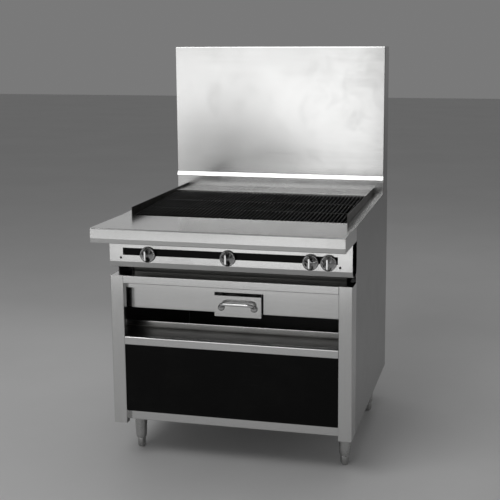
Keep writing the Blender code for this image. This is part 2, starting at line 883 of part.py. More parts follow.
def drawer_handle():
    """A bow handle: a bar on quarter turns that leans upwards from two round feet."""
    half, reach, bend, radius, lean = HANDLE_SPACING / 2, 0.034, 0.017, 0.0060, math.radians(35)
    root, turns = 0.0050, 4
    quarter = [math.pi / 2 * i / turns for i in range(turns + 1)]
    arc = [(half - bend + bend * math.cos(a), -(reach - bend + bend * math.sin(a)), 0) for a in quarter]
    points = [(half, -root, 0), *arc]
    points += [(-x, y, z) for x, y, z in reversed(points)]
    face = Vector((
        (DRAWER_X[0] + DRAWER_X[1]) / 2,
        at(DRAWER_FACE - CLEAR),
        (DRAWER_FRONT_Z[0] + DRAWER_FRONT_Z[1]) / 2 - HANDLE_DROP,
    ))
    obj = tube("drawer_handle", points, radius, 2)
    obj.location = face
    obj.rotation_euler = (-lean, 0, 0)
    obj = smooth(obj)
    base, neck, thick = 0.013, 0.009, 0.007
    profile = [(0, thick), (neck, thick), (base, 0.4 * thick), (base, 0.0), (0, 0.0)]
    for side in (-1, 1):
        stand = smooth(turned(f"handle_foot_{name_side(side)}", profile, "-Y"))
        stand.location = face + Vector((side * half, 0, 0))
        join(obj, stand)
    place(obj, "chrome")


def drawer_guides():
    """An angle on each side of the drawer's tray, which it runs along."""
    out, foot_width, thick = 0.002, 0.016, 0.0012
    low, high = TRAY_Z[0] - thick - 2 * CLEAR, PAN_LOW - 0.006 - CLEAR
    start, end = at(SKIRT_DEPTH + 0.026), at(DRAWER_BACK + 0.03)
    for side, edge in zip((-1, 1), DRAWER_X):
        x = edge + side * (out - TRAY_INSET)
        path = [(x, high), (x, low), (x - side * foot_width, low)]
        if side < 0:
            path.reverse()
        name = f"{name_side(side)}_drawer_guide"
        place(bent_sheet(name, path, "XZ", start, end, thick=thick, bend=0), "stainless")


clear_scene()
MODEL = new_collection("charbroiler")
CUTTERS = new_collection("cutters")
for each_side in (-1, 1):
    side_panel(each_side)
    post(each_side)
    side_ledge(each_side)
front_rails()
cabinet_floor()
middle_shelf()
lower_panel()
back_panel()
legs()
front_rail()
control_panel()
valve_bezel()
burner_set()
gas_pipes()
firebox()
rear_ledge()
grates()
lower_splash()
riser_front()
riser_shell()
drip_pan()
drip_skirt()
grease_drawer()
drawer_handle()
drawer_guides()
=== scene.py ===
"""The looks of a free-standing gas charbroiler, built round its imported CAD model.

Metres, in the CAD model's own frame: the origin is on the floor under the middle of the outer box, +Z is
up and -Y is the cook's side. Each place of a piece is read from a CAD node's box.
"""

import json
import math

import bmesh
import bpy
from mathutils import Matrix, Vector


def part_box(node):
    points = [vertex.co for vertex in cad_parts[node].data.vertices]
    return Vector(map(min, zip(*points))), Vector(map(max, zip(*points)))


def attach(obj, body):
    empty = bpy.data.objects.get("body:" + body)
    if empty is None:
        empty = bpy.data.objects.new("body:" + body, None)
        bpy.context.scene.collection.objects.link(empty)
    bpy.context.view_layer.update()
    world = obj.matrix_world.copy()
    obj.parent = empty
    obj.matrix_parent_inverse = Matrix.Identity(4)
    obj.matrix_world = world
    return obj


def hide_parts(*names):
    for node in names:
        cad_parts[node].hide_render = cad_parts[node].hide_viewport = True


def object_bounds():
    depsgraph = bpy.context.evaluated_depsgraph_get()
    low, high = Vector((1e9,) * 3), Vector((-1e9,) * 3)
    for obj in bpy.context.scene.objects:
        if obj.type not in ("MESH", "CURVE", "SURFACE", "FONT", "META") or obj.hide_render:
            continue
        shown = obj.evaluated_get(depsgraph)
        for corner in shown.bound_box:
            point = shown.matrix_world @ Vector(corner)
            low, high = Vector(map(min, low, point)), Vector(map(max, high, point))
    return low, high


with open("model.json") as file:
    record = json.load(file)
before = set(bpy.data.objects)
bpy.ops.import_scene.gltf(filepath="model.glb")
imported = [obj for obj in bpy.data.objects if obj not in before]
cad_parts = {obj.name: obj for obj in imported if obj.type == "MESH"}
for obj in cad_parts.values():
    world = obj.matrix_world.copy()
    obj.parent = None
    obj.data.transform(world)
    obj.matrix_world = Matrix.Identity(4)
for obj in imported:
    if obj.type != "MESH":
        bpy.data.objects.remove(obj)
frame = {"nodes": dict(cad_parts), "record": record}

CAD_LOW, CAD_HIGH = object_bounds()
NODES = frame["nodes"]
BODY_OF = {node: body for body, nodes in frame["record"]["behaviour"]["bodies"].items() for node in nodes}
SLOT_OF = {part["node"]: part["material_slot"] for part in frame["record"]["subparts"]}
SMOOTH_ANGLE = math.radians(35)

SIDES = ("left", "right")
ENDS = ("front", "rear")
BURNERS = ("left", "centre", "right")
KNOBS = (*[f"{side}_burner_knob" for side in BURNERS], "pilot_knob")
GRATES = [f"grate_{i + 1}" for i in range(6)]
BARS = 9  # to a grate
SHEET = 0.0015  # thickness of the steel sheets
GRATE_THICK = 0.018
GAP = 0.0003  # between neighbouring pieces
TO_COOK = Matrix.Rotation(math.radians(90), 4, "X")  # turns +Z to -Y


# Camera, light and floor


def add_camera():
    """The photograph's viewing angle: from the front right, a little above, with uprights nearly parallel."""
    data = bpy.data.cameras.new("camera")
    data.sensor_width = 36.0
    data.lens = 69.6
    data.shift_x = -0.10
    data.shift_y = -0.08
    camera = bpy.data.objects.new("camera", data)
    camera.location = (0.993, -3.645, 1.538)
    camera.rotation_euler = (math.radians(90 - 9.23), 0.0, math.radians(12.52))
    bpy.context.scene.collection.objects.link(camera)
    bpy.context.scene.camera = camera


def add_softbox(name, place, turn, size, radiance):
    """An even rectangle of light that no view shows. Its power comes from how bright its face is to look."""
    data = bpy.data.lights.new(name, "AREA")
    data.shape = "RECTANGLE"
    data.size, data.size_y = size
    data.energy = radiance * math.pi * size[0] * size[1]
    light = bpy.data.objects.new(name, data)
    light.location = place
    light.rotation_euler = turn
    light.visible_camera = False
    bpy.context.scene.collection.objects.link(light)


def aimed(place):
    """The turn that points a light at the middle of the grill."""
    return (Vector((0.0, 0.0, 0.8)) - Vector(place)).to_track_quat("-Z", "Y").to_euler()


def add_cards():
    """Upright cards whose stepped lower edge the riser mirrors as a soft arch, and two more cards."""
    line, top = -4.3, 1.85
    upright = (math.radians(90), 0.0, 0.0)
    steps = (
        (-3.1, -2.1, 0.48, 1.28),
        (-2.1, -1.3, 0.92, 1.46),
        (-1.3, -0.9, 0.74, 1.56),
        (-0.9, -0.1, 0.42, 1.60),
    )
    for i, (low_x, high_x, low, radiance) in enumerate(steps):  # low is the card's lower edge
        place = ((low_x + high_x) / 2, line, (low + top) / 2)
        add_softbox(f"card_{i + 1}", place, upright, (high_x - low_x, top - low), radiance)
    add_softbox("floor_card", (-1.30, -4.35, 0.02), (math.radians(180), 0.0, 0.0), (3.0, 1.7), 1.25)
    add_softbox("back_card", (-2.0, 1.8, 1.55), (math.radians(-90), 0.0, 0.0), (3.0, 1.4), 0.28)


def add_lights():
    """Cards for the upright faces, a broad key from high in front, and weak light from elsewhere."""
    add_cards()
    lights = (
        ("key", (-1.3, -2.8, 4.2), (3.0, 1.8), 3.3),
        ("top", (0.2, 0.2, 5.0), (2.6, 2.6), 1.2),
        ("side_fill", (4.2, 0.4, 1.8), (2.4, 2.0), 0.30),
        ("rear_fill", (3.4, 3.8, 1.8), (2.4, 2.0), 0.50),
    )
    for name, place, size, radiance in lights:
        add_softbox(name, place, aimed(place), size, radiance)
    world = bpy.data.worlds.new("studio")
    world.use_nodes = True
    background = world.node_tree.nodes["Background"]
    background.inputs["Color"].default_value = (0.80, 0.80, 0.80, 1.0)
    background.inputs["Strength"].default_value = 0.24
    bpy.context.scene.world = world
    bpy.context.scene.view_settings.view_transform = "Standard"


# Node materials

STEEL = (0.62, 0.62, 0.615)
DULL_STEEL = (0.38, 0.38, 0.38)
FIRED_STEEL = (0.36, 0.36, 0.355)
SMOKED_STEEL = (0.15, 0.15, 0.145)
SATIN_STEEL = (0.50, 0.50, 0.495)
SCORCHED_STEEL = (0.085, 0.083, 0.080)

class Surface:
    """A material and the few node forms that the finishes below share."""

    def __init__(self, name, colour, roughness, metallic=0.0, **sockets):
        self.material = bpy.data.materials.new(name)
        self.material.use_nodes = True
        self.tree = self.material.node_tree
        self.shader = self.tree.nodes["Principled BSDF"]
        self.set(self.shader, {"Base Color": (*colour, 1.0), "Roughness": roughness, "Metallic": metallic})
        self.set(self.shader, {name.replace("_", " "): value for name, value in sockets.items()})
        self.place = self.add("ShaderNodeTexCoord").outputs["Object"]

    def set(self, node, sockets):
        for name, value in sockets.items():
            if isinstance(value, bpy.types.NodeSocket):
                self.tree.links.new(value, node.inputs[name])
            else:
                node.inputs[name].default_value = value

    def add(self, kind, sockets=None, **settings):
        node = self.tree.nodes.new(kind)
        for name, value in settings.items():
            setattr(node, name, value)
        self.set(node, sockets or {})
        return node

    def noise(self, scales, detail=3.0, roughness=0.5, distortion=0.0):
        """Noise with so many waves to the metre along each axis, from 0 to 1."""
        stretched = self.add("ShaderNodeMapping", {"Vector": self.place, "Scale": scales}).outputs["Vector"]
        sockets = {"Vector": stretched, "Scale": 1.0, "Detail": detail}
        sockets.update({"Roughness": roughness, "Distortion": distortion})
        return self.add("ShaderNodeTexNoise", sockets).outputs["Fac"]

    def ramp(self, value, low, high, to_low=0.0, to_high=1.0):
        sockets = {"Value": value, "From Min": low, "From Max": high, "To Min": to_low, "To Max": to_high}
        return self.add("ShaderNodeMapRange", sockets).outputs["Result"]

    def math(self, operation, first, second):
        return self.add("ShaderNodeMath", {0: first, 1: second}, operation=operation).outputs[0]

    def mix(self, factor, first, second):
        """A blend of two colours, each a colour or a socket."""
        ends = [end if isinstance(end, bpy.types.NodeSocket) else (*end, 1.0) for end in (first, second)]
        node = self.add("ShaderNodeMix", data_type="RGBA")
        self.set(node, {0: factor, 6: ends[0], 7: ends[1]})
        return node.outputs[2]

    def paint(self, **sockets):
        self.set(self.shader, {name.replace("_", " "): value for name, value in sockets.items()})

    def bump(self, height, distance, strength=1.0):
        sockets = {"Height": height, "Distance": distance, "Strength": strength}
        self.paint(Normal=self.add("ShaderNodeBump", sockets).outputs["Normal"])

    def brush(self, along, amount):
        """Spreads the highlights across the grain, for a sheet whose grain runs along one axis."""
        across = {f"{axis}": 0.0 if axis == along else 0.7 for axis in "XYZ"}
        self.paint(Anisotropic=amount, Tangent=self.add("ShaderNodeCombineXYZ", across).outputs["Vector"])


def tinted(colour, factor):
    return tuple(min(1.0, part * factor) for part in colour)


def grain_scales(along, fine, long):
    """Noise scales for a grain that runs along one axis."""
    return tuple(long if axis == along else fine for axis in "XYZ")


def brushed_steel(name, along, colour=STEEL, roughness=0.18):
    """Sheet steel brushed along one axis, with faint streaks, rub marks and finger-dulled patches."""
    surface = Surface(name, colour, roughness, 1.0)
    hairs = surface.noise(grain_scales(along, 1100.0, 14.0), 2.0, 0.6)
    streaks = surface.noise(grain_scales(along, 130.0, 2.2), 3.0, 0.6)
    clouds = surface.noise((3.1, 3.1, 3.1), 4.0, 0.55)
    smears = surface.ramp(surface.noise((9.0, 9.0, 9.0), 5.0, 0.6, 0.8), 0.52, 0.70)
    fine, broad = surface.math("MULTIPLY", hairs, 0.55), surface.math("MULTIPLY", streaks, 0.45)
    lines = surface.math("ADD", fine, broad)
    tone = surface.mix(surface.ramp(lines, 0.30, 0.70), tinted(colour, 0.96), tinted(colour, 1.03))
    tone = surface.mix(surface.math("MULTIPLY", smears, 0.10), tone, tinted(colour, 0.84))
    rough = surface.math("ADD", surface.ramp(lines, 0.25, 0.75, roughness - 0.03, roughness + 0.04),
                         surface.ramp(clouds, 0.3, 0.7, -0.02, 0.03))
    rough = surface.math("ADD", rough, surface.math("MULTIPLY", smears, 0.03))
    surface.paint(Base_Color=tone, Roughness=rough)
    surface.brush(along, 0.2)
    surface.bump(hairs, 0.00003, 0.5)
    return surface.material


def scorched_steel(name, colour=SCORCHED_STEEL, roughness=0.42):
    """Sheet steel beside the fire: grey-brown oxide in clouds, darker where grease has burnt on."""
    surface = Surface(name, colour, roughness, 0.8)
    clouds = surface.noise((7.0, 7.0, 12.0), 5.0, 0.6, 0.6)
    burnt = surface.ramp(surface.noise((19.0, 19.0, 40.0), 5.0, 0.65), 0.45, 0.68)
    hairs = surface.noise(grain_scales("Y", 900.0, 16.0), 2.0, 0.6)
    tone = surface.mix(surface.ramp(clouds, 0.3, 0.7), tinted(colour, 0.75), tinted(colour, 1.45))
    tone = surface.mix(surface.math("MULTIPLY", burnt, 0.6), tone, (0.022, 0.020, 0.018))
    rough = surface.ramp(clouds, 0.3, 0.7, roughness - 0.07, roughness + 0.12)
    surface.paint(Base_Color=tone, Roughness=rough)
    surface.bump(hairs, 0.00005, 0.5)
    return surface.material


def painted_shade_shelf(name, colour=STEEL):
    """Sheet steel with painted shade on its level part, darker and rougher than its turned-up edge."""
    surface = Surface(name, colour, 0.2, 1.0)
    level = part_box("middle_shelf")[0].z + SHEET
    height = surface.add("ShaderNodeSeparateXYZ", {"Vector": surface.place}).outputs["Z"]
    # painted shade: a mask by height that darkens the level part below the turned-up edge
    painted_shade_mask = surface.ramp(height, level + 0.0100, level + 0.0010)
    hairs = surface.noise(grain_scales("X", 1100.0, 14.0), 2.0, 0.6)
    clouds = surface.ramp(surface.noise((8.0, 12.0, 8.0), 5.0, 0.6), 0.3, 0.7)
    # the dark colour of the painted shade, in clouds
    painted_shade_tone = surface.mix(clouds, (0.085, 0.083, 0.078), (0.150, 0.147, 0.140))
    tone = surface.mix(painted_shade_mask, surface.mix(hairs, tinted(colour, 0.93), tinted(colour, 1.05)), painted_shade_tone)
    surface.paint(Base_Color=tone, Roughness=surface.ramp(painted_shade_mask, 0.0, 1.0, 0.20, 0.40))
    surface.bump(hairs, 0.00003, 0.5)
    return surface.material


def satin_steel(name, colour=SATIN_STEEL, roughness=0.26):
    """Cast or turned steel with an even satin finish and small handling marks."""
    surface = Surface(name, colour, roughness, 1.0)
    turning = surface.noise((90.0, 90.0, 1500.0), 2.0)
    clouds = surface.noise((22.0, 22.0, 22.0), 4.0)
    marks = surface.ramp(surface.noise((160.0, 160.0, 160.0), 3.0), 0.60, 0.72)
    tone = surface.mix(surface.ramp(clouds, 0.3, 0.7), tinted(colour, 0.86), tinted(colour, 1.06))
    tone = surface.mix(surface.math("MULTIPLY", marks, 0.5), tone, tinted(colour, 0.60))
    rough = surface.ramp(clouds, 0.3, 0.7, roughness - 0.06, roughness + 0.10)
    surface.paint(Base_Color=tone, Roughness=rough)
    surface.bump(turning, 0.00005, 0.5)
    return surface.material


def chrome(name, grey=0.80):
    """Bright plating with a slight haze and small dark specks. A lower grey gives a darker copy, which is
    painted shade.
    """
    colour = (grey, grey, grey)
    surface = Surface(name, colour, 0.07, 1.0)
    haze = surface.noise((40.0, 40.0, 40.0), 4.0, 0.6)
    specks = surface.ramp(surface.noise((420.0, 420.0, 420.0), 2.0), 0.66, 0.74)
    tone = surface.mix(surface.math("MULTIPLY", specks, 0.4), colour, tinted(colour, 0.5))
    rough = surface.ramp(haze, 0.35, 0.70, 0.04, 0.13)
    rough = surface.math("ADD", rough, surface.math("MULTIPLY", specks, 0.2))
    surface.paint(Base_Color=tone, Roughness=rough)
    surface.bump(haze, 0.0001, 0.25)
    return surface.material


def black_enamel(name, roughness=0.36):
    """Semi-gloss black paint with a little orange peel, dust and rub marks."""
    surface = Surface(name, (0.005, 0.005, 0.005), roughness, 0.0, Specular_IOR_Level=0.08)
    peel = surface.noise((420.0, 420.0, 420.0), 2.0)
    dust = surface.ramp(surface.noise((6.0, 6.0, 6.0), 6.0, 0.65), 0.48, 0.74)
    scuffs = surface.ramp(surface.noise((14.0, 14.0, 120.0), 4.0, 0.6), 0.62, 0.72)
    clean, dusty = (0.0035, 0.0035, 0.0035), (0.010, 0.010, 0.0095)
    tone = surface.mix(surface.math("MULTIPLY", dust, 0.35), clean, dusty)
    tone = surface.mix(surface.math("MULTIPLY", scuffs, 0.25), tone, (0.020, 0.020, 0.019))
    rough = surface.math("ADD", surface.ramp(dust, 0.0, 1.0, roughness - 0.05, roughness + 0.14),
                         surface.math("MULTIPLY", scuffs, 0.12))
    surface.paint(Base_Color=tone, Roughness=rough)
    surface.bump(peel, 0.00012, 0.35)
    return surface.material


def cast_iron(name):
    """Seasoned iron: a pebbled sand-cast skin, burnt-on grease, and bare metal rubbed grey in places."""
    surface = Surface(name, (0.005, 0.0048, 0.0046), 0.5, 0.0, Specular_IOR_Level=0.20)
    pebbles = surface.noise((900.0, 900.0, 900.0), 3.0, 0.6)
    lumps = surface.noise((140.0, 140.0, 140.0), 3.0)
    burnt = surface.ramp(surface.noise((16.0, 16.0, 16.0), 5.0, 0.65), 0.40, 0.66)
    worn = surface.ramp(surface.noise((55.0, 55.0, 55.0), 5.0, 0.7), 0.58, 0.74)
    tone = surface.mix(burnt, (0.0055, 0.0052, 0.0050), (0.0025, 0.0024, 0.0023))
    tone = surface.mix(surface.math("MULTIPLY", worn, 0.5), tone, (0.018, 0.0175, 0.017))
    rough = surface.ramp(burnt, 0.0, 1.0, 0.58, 0.40)
    surface.paint(Base_Color=tone, Roughness=rough, Metallic=surface.math("MULTIPLY", worn, 0.5))
    height = surface.math("ADD", pebbles, surface.math("MULTIPLY", lumps, 0.8))
    surface.bump(height, 0.0005, 0.6)
    return surface.material


def brass(name):
    surface = Surface(name, (0.52, 0.38, 0.15), 0.30, 1.0)
    tarnish = surface.ramp(surface.noise((60.0, 60.0, 60.0), 5.0, 0.6), 0.38, 0.68)
    tone = surface.mix(tarnish, (0.56, 0.42, 0.18), (0.30, 0.20, 0.09))
    surface.paint(Base_Color=tone, Roughness=surface.ramp(tarnish, 0.0, 1.0, 0.24, 0.46))
    surface.bump(surface.noise((300.0, 1400.0, 300.0), 2.0), 0.00005, 0.5)
    return surface.material


def black_pipe(name):
    surface = Surface(name, (0.030, 0.030, 0.031), 0.42, 0.3)
    scale = surface.noise((50.0, 6.0, 50.0), 5.0, 0.6)
    rust = surface.ramp(surface.noise((85.0, 30.0, 85.0), 5.0, 0.65), 0.60, 0.76)
    tone = surface.mix(surface.ramp(scale, 0.3, 0.7), (0.022, 0.022, 0.023), (0.050, 0.049, 0.048))
    tone = surface.mix(surface.math("MULTIPLY", rust, 0.6), tone, (0.085, 0.050, 0.032))
    surface.paint(Base_Color=tone, Roughness=surface.ramp(scale, 0.3, 0.7, 0.34, 0.55))
    surface.bump(scale, 0.0003, 0.4)
    return surface.material


def floor_finish(name):
    surface = Surface(name, (0.62, 0.62, 0.62), 0.55, 0.0)
    clouds = surface.noise((0.8, 0.8, 0.8), 5.0, 0.6)
    tone = surface.mix(surface.ramp(clouds, 0.3, 0.7), (0.60, 0.60, 0.60), (0.66, 0.66, 0.66))
    surface.paint(Base_Color=tone, Roughness=surface.ramp(clouds, 0.3, 0.7, 0.50, 0.62))
    surface.bump(surface.noise((120.0, 120.0, 120.0), 3.0), 0.0002, 0.3)
    return surface.material


def make_finishes():
    """Every finish by name. The sheet steels end in the axis that their grain runs along."""
    finishes = {}
    for axis in "XYZ":
        finishes[f"steel_{axis}"] = brushed_steel(f"brushed_stainless_{axis}", axis)
        finishes[f"dull_{axis}"] = brushed_steel(f"dull_stainless_{axis}", axis, DULL_STEEL, 0.34)
    return {
        **finishes,
        "smoked_X": brushed_steel("smoked_stainless_X", "X", SMOKED_STEEL, 0.36),
        "fired_X": brushed_steel("fired_stainless_X", "X", FIRED_STEEL, 0.24),
        # the middle shelf's finish, with painted shade on its level part
        "painted_shade_shelf": painted_shade_shelf("painted_shade_shelf"),
        "scorched": scorched_steel("scorched_steel"),
        "satin": satin_steel("leg_steel"),
        "chrome": chrome("chrome"),
        # a darker copy of the chrome: painted shade for the knobs and the handle's feet
        "painted_shade_chrome": chrome("painted_shade_chrome", 0.48),
        "enamel": black_enamel("black_enamel"),
        "iron": cast_iron("cast_iron"),
        "brass": brass("brass"),
        "pipe": black_pipe("black_pipe"),
    }


# The CAD nodes that stay, and which way each sheet's grain runs

NODE_FINISHES = {
    "steel_X": (
        "top_front_rail", "middle_front_rail", "bottom_front_rail", "front_rail", "control_panel",
        "riser_front", "lower_splash", "drip_skirt", "grease_drawer",
    ),
    "fired_X": ("rear_ledge",),
    "steel_Y": ("left_ledge", "right_ledge"),
    "steel_Z": ("left_post", "right_post"),
    # the middle shelf's level part gets painted shade
    "painted_shade_shelf": ("middle_shelf",),
    "smoked_X": ("front_firebox_wall",),
    "dull_X": ("back_panel", "drip_pan"),
    "dull_Y": ("cabinet_floor", "left_drawer_guide", "right_drawer_guide"),
    "dull_Z": ("left_side_panel", "right_side_panel", "riser_shell"),
    "scorched": ("left_firebox_wall", "right_firebox_wall", "rear_firebox_wall"),
    "enamel": ("lower_panel", "valve_bezel"),
    "iron": (*[f"{side}_burner" for side in BURNERS], *[f"{side}_radiant" for side in BURNERS]),
    "brass": (*[f"{side}_burner_valve" for side in BURNERS], "pilot_valve"),
    "pipe": ("gas_manifold", "gas_supply_pipe"),
}


def smooth(mesh):
    mesh.shade_smooth()
    mesh.set_sharp_from_angle(angle=SMOOTH_ANGLE)


def dress_nodes(finishes):
    for finish, names in NODE_FINISHES.items():
        for name in names:
            mesh = NODES[name].data
            mesh.materials.clear()
            mesh.materials.append(finishes[finish])
            smooth(mesh)


# Mesh forms that the pieces share


def loft(shape, rings):
    """A closed body through rings that all have the same number of points."""
    loops = [[shape.verts.new(point) for point in ring] for ring in rings]
    for first, second in zip(loops, loops[1:]):
        for i in range(len(first)):
            j = (i + 1) % len(first)
            shape.faces.new((first[i], first[j], second[j], second[i]))
    shape.faces.new(reversed(loops[0]))
    shape.faces.new(loops[-1])


def lathe(shape, profile, segments=64, turn=0.0):
    """A closed body turned about +Z. The profile is (radius, height) points whose ends are on the axis."""
    turns = [2 * math.pi * i / segments + turn for i in range(segments)]
    start, *middle, end = profile
    loops = [[shape.verts.new((r * math.cos(a), r * math.sin(a), z)) for a in turns] for r, z in middle]
    caps = [shape.verts.new((0.0, 0.0, z)) for _, z in (start, end)]
    for i in range(segments):
        j = (i + 1) % segments
        shape.faces.new((caps[0], loops[0][i], loops[0][j]))
        shape.faces.new((caps[1], loops[-1][j], loops[-1][i]))
        for first, second in zip(loops, loops[1:]):
            shape.faces.new((first[j], first[i], second[i], second[j]))


def arc(centre, radius, start, stop, steps):
    """Points on an arc in a profile's plane, with angles in degrees from its first axis."""
    angles = [math.radians(start + (stop - start) * i / steps) for i in range(steps + 1)]
    return [(centre[0] + radius * math.cos(a), centre[1] + radius * math.sin(a)) for a in angles]


def mesh_of(name, shape):
    """A mesh from a bmesh, with its normals out."""
    bmesh.ops.remove_doubles(shape, verts=shape.verts, dist=1e-6)
    bmesh.ops.recalc_face_normals(shape, faces=shape.faces)
    mesh = bpy.data.meshes.new(name)
    shape.to_mesh(mesh)
    shape.free()
    return mesh


def object_of(name, mesh):
    made = bpy.data.objects.new(name, mesh)
    bpy.context.scene.collection.objects.link(made)
    return made


def boolean(mesh, other, operation):
    """A new mesh from two. Neither is kept."""
    first, second = object_of("first", mesh), object_of("second", other)
    step = first.modifiers.new("boolean", "BOOLEAN")
    step.operation, step.object = operation, second
    solid = bpy.data.meshes.new_from_object(first.evaluated_get(bpy.context.evaluated_depsgraph_get()))
    for made in (first, second):
        bpy.data.objects.remove(made)
    for used in (mesh, other):
        bpy.data.meshes.remove(used)
    return solid


def bevelled(mesh, width, segments=2, angle=40.0):
    """A new mesh with its sharp edges rounded."""
    made = object_of("blank", mesh)
    step = made.modifiers.new("bevel", "BEVEL")
    step.width, step.segments, step.angle_limit = width, segments, math.radians(angle)
    rounded = bpy.data.meshes.new_from_object(made.evaluated_get(bpy.context.evaluated_depsgraph_get()))
    bpy.data.objects.remove(made)
    bpy.data.meshes.remove(mesh)
    return rounded


def add_piece(name, mesh, finish, body, replaced=()):
    """A finished piece, in place in its mesh, riding on a CAD body."""
    mesh.name = name
    mesh.materials.clear()
    mesh.materials.append(finish)
    smooth(mesh)
    piece = object_of(name, mesh)
    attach(piece, body)
    if replaced:
        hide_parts(*replaced)
    return piece


def stand_in(node, name, mesh, finish):
    """A finished piece that takes a CAD node's place."""
    return add_piece(name, mesh, finish, BODY_OF[node], (node,))


# Grates


def bar_ring(x, y, drop, half=0.0034, foot=0.0022):
    """A bar's section at one place: a rounded crown on sides that taper down to its foot."""
    angles = [math.radians(-60 + 20 * i) for i in range(7)]
    crown = [(half * math.sin(a), -1.6 * half * (1 - math.cos(a)) - drop) for a in angles]
    points = [(-foot, -GRATE_THICK), *crown, (foot, -GRATE_THICK)]
    return [(x + across, y, max(down, -GRATE_THICK)) for across, down in points]


def grate_bars(width, length):
    """Bars along Y whose ends slope down to the grate's rim."""
    shape = bmesh.new()
    pitch = width / BARS
    end = length / 2
    stops = ((-end + 0.0008, 0.0050), (-end + 0.0040, 0.0022), (-end + 0.0110, 0.0))
    for i in range(BARS):
        x = (i + 0.5) * pitch - width / 2
        front = [bar_ring(x, y, drop) for y, drop in stops]
        back = [bar_ring(x, -y, drop) for y, drop in reversed(stops)]
        loft(shape, front + back)
    return mesh_of("bars", shape)


def grate_rails(width, length):
    """The rim's two end rails and two cross rails, just under the bars' crowns."""
    shape = bmesh.new()
    edge, draft = 0.0015, 0.0006
    end, cross = length / 2 - 0.0062, length / 6
    end_size = (0.0056, 0.0056, GRATE_THICK - 0.0004)
    cross_size = (0.0042, 0.0030, 0.0150)
    rails = ((-end, *end_size), (end, *end_size), (-cross, *cross_size), (cross, *cross_size))
    for y, half, top, bottom in rails:
        section = [
            (y - half + draft, -bottom),
            (y - half, -top - edge),
            (y - half + edge, -top),
            (y + half - edge, -top),
            (y + half, -top - edge),
            (y + half - draft, -bottom),
        ]
        stops = (-width / 2 + GAP, width / 2 - GAP)
        loft(shape, [[(x, across, up) for across, up in section] for x in stops])
    return mesh_of("rails", shape)


def grate_place(node):
    """Where a grate's own frame lies, from the CAD node's box and its biggest upward face."""
    mesh = NODES[node].data
    face = max((face for face in mesh.polygons if face.normal.z > 0.9), key=lambda face: face.area)
    low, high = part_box(node)
    middle = (low + high) / 2
    rise = -face.normal.y / face.normal.z
    middle.z = face.center.z + rise * (middle.y - face.center.y)
    return Matrix.Translation(middle) @ Matrix.Rotation(math.atan(rise), 4, "X")


def add_grates(finish):
    low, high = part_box(GRATES[0])
    width, length = high.x - low.x, high.y - low.y - 0.002
    pattern = boolean(grate_bars(width, length), grate_rails(width, length), "UNION")
    for node in GRATES:
        mesh = pattern.copy()
        mesh.transform(grate_place(node))
        stand_in(node, f"{node}_casting", mesh, finish)
    bpy.data.meshes.remove(pattern)


# Knobs


class KnobForm:
    """Heights of a knob's front out from the panel, with its grip along the second axis."""

    radius = 0.0290
    rim = 0.0085
    bead = 0.0014
    dome = 0.0160
    crest = 0.0338
    crest_half = 0.0024
    root_half = 0.0125
    grip_half = 0.0262
    round_off = 0.0085
    back = 0.0031
    bore = 0.0040

    @classmethod
    def disc(cls, x, z):
        r = math.hypot(x, z) / cls.radius
        bead = cls.bead * math.exp(-((r - 0.93) / 0.035) ** 2)
        fall = 0.0012 * max(0.0, r - 0.97) / 0.03
        dome = cls.dome * (1 - min(1.0, r / 0.86) ** 2) ** 1.5
        return cls.rim - fall + bead + dome

    @classmethod
    def height(cls, x, z):
        base = cls.disc(x, z)
        run = (cls.root_half - abs(x)) / (cls.root_half - cls.crest_half)
        flank = min(1.0, max(0.0, run)) ** 1.7
        end = min(1.0, max(0.0, (cls.grip_half - abs(z)) / cls.round_off))
        return base + (cls.crest - base) * flank * math.sin(end * math.pi / 2) ** 0.6


def knob_mesh():
    """A knob in its own frame: +Z out of the panel, the grip along Y, its points in columns along it."""
    shape = bmesh.new()
    form = KnobForm
    inner = [form.crest_half * i / 2 for i in range(3)]
    flank = [form.crest_half + (form.root_half - form.crest_half) * i / 8 for i in range(1, 9)]
    outer = [form.radius * math.sin(math.radians(a)) for a in range(30, 88, 6)]
    half = inner + flank + [x for x in outer if x > form.root_half + 0.0005] + [form.radius * 0.9995]
    columns = [-x for x in reversed(half[1:])] + half
    rows = [math.sin(math.pi / 2 * (i / 22 - 1)) for i in range(45)]
    grid = []
    for x in columns:
        reach = math.sqrt(form.radius ** 2 - x ** 2)
        grid.append([shape.verts.new((x, t * reach, form.height(x, t * reach))) for t in rows])
    for left, right in zip(grid, grid[1:]):
        for i in range(len(rows) - 1):
            shape.faces.new((left[i], right[i], right[i + 1], left[i + 1]))
    skirt = [
        (form.radius, 0.0044),
        (form.radius - 0.0010, 0.0034),
        (form.radius - 0.0022, form.back),
        (form.bore, form.back),
        (form.bore, 0.0150),
    ]
    rim = [edge for edge in shape.edges if edge.is_boundary]
    for radius, height in skirt:
        made = bmesh.ops.extrude_edge_only(shape, edges=rim)["geom"]
        for vert in (item for item in made if isinstance(item, bmesh.types.BMVert)):
            angle = math.atan2(vert.co.y, vert.co.x)
            vert.co = (radius * math.cos(angle), radius * math.sin(angle), height)
        rim = [edge for edge in made if isinstance(edge, bmesh.types.BMEdge) and edge.is_boundary]
    bmesh.ops.holes_fill(shape, edges=rim)
    return mesh_of("knob", shape)


def add_knobs(finish):
    pattern = knob_mesh()
    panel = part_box("control_panel")[0].y
    for node in KNOBS:
        low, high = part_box(node)
        middle = (low + high) / 2
        mesh = pattern.copy()
        mesh.transform(Matrix.Translation((middle.x, panel, middle.z)) @ TO_COOK)
        stand_in(node, f"{node}_cap", mesh, finish)
    bpy.data.meshes.remove(pattern)


# Drawer handle


def tube(path, radius, sides=24):
    """A round bar along a path in the XZ plane."""
    shape = bmesh.new()
    points = [Vector(point) for point in path]
    across = Vector((0.0, 1.0, 0.0))
    turns = [2 * math.pi * i / sides for i in range(sides)]
    rings = []
    for behind, point, ahead in zip([points[0], *points], points, [*points[1:], points[-1]]):
        out = (ahead - behind).normalized().cross(across)
        rings.append([point + radius * (math.cos(a) * across + math.sin(a) * out) for a in turns])
    loft(shape, rings)
    return mesh_of("tube", shape)


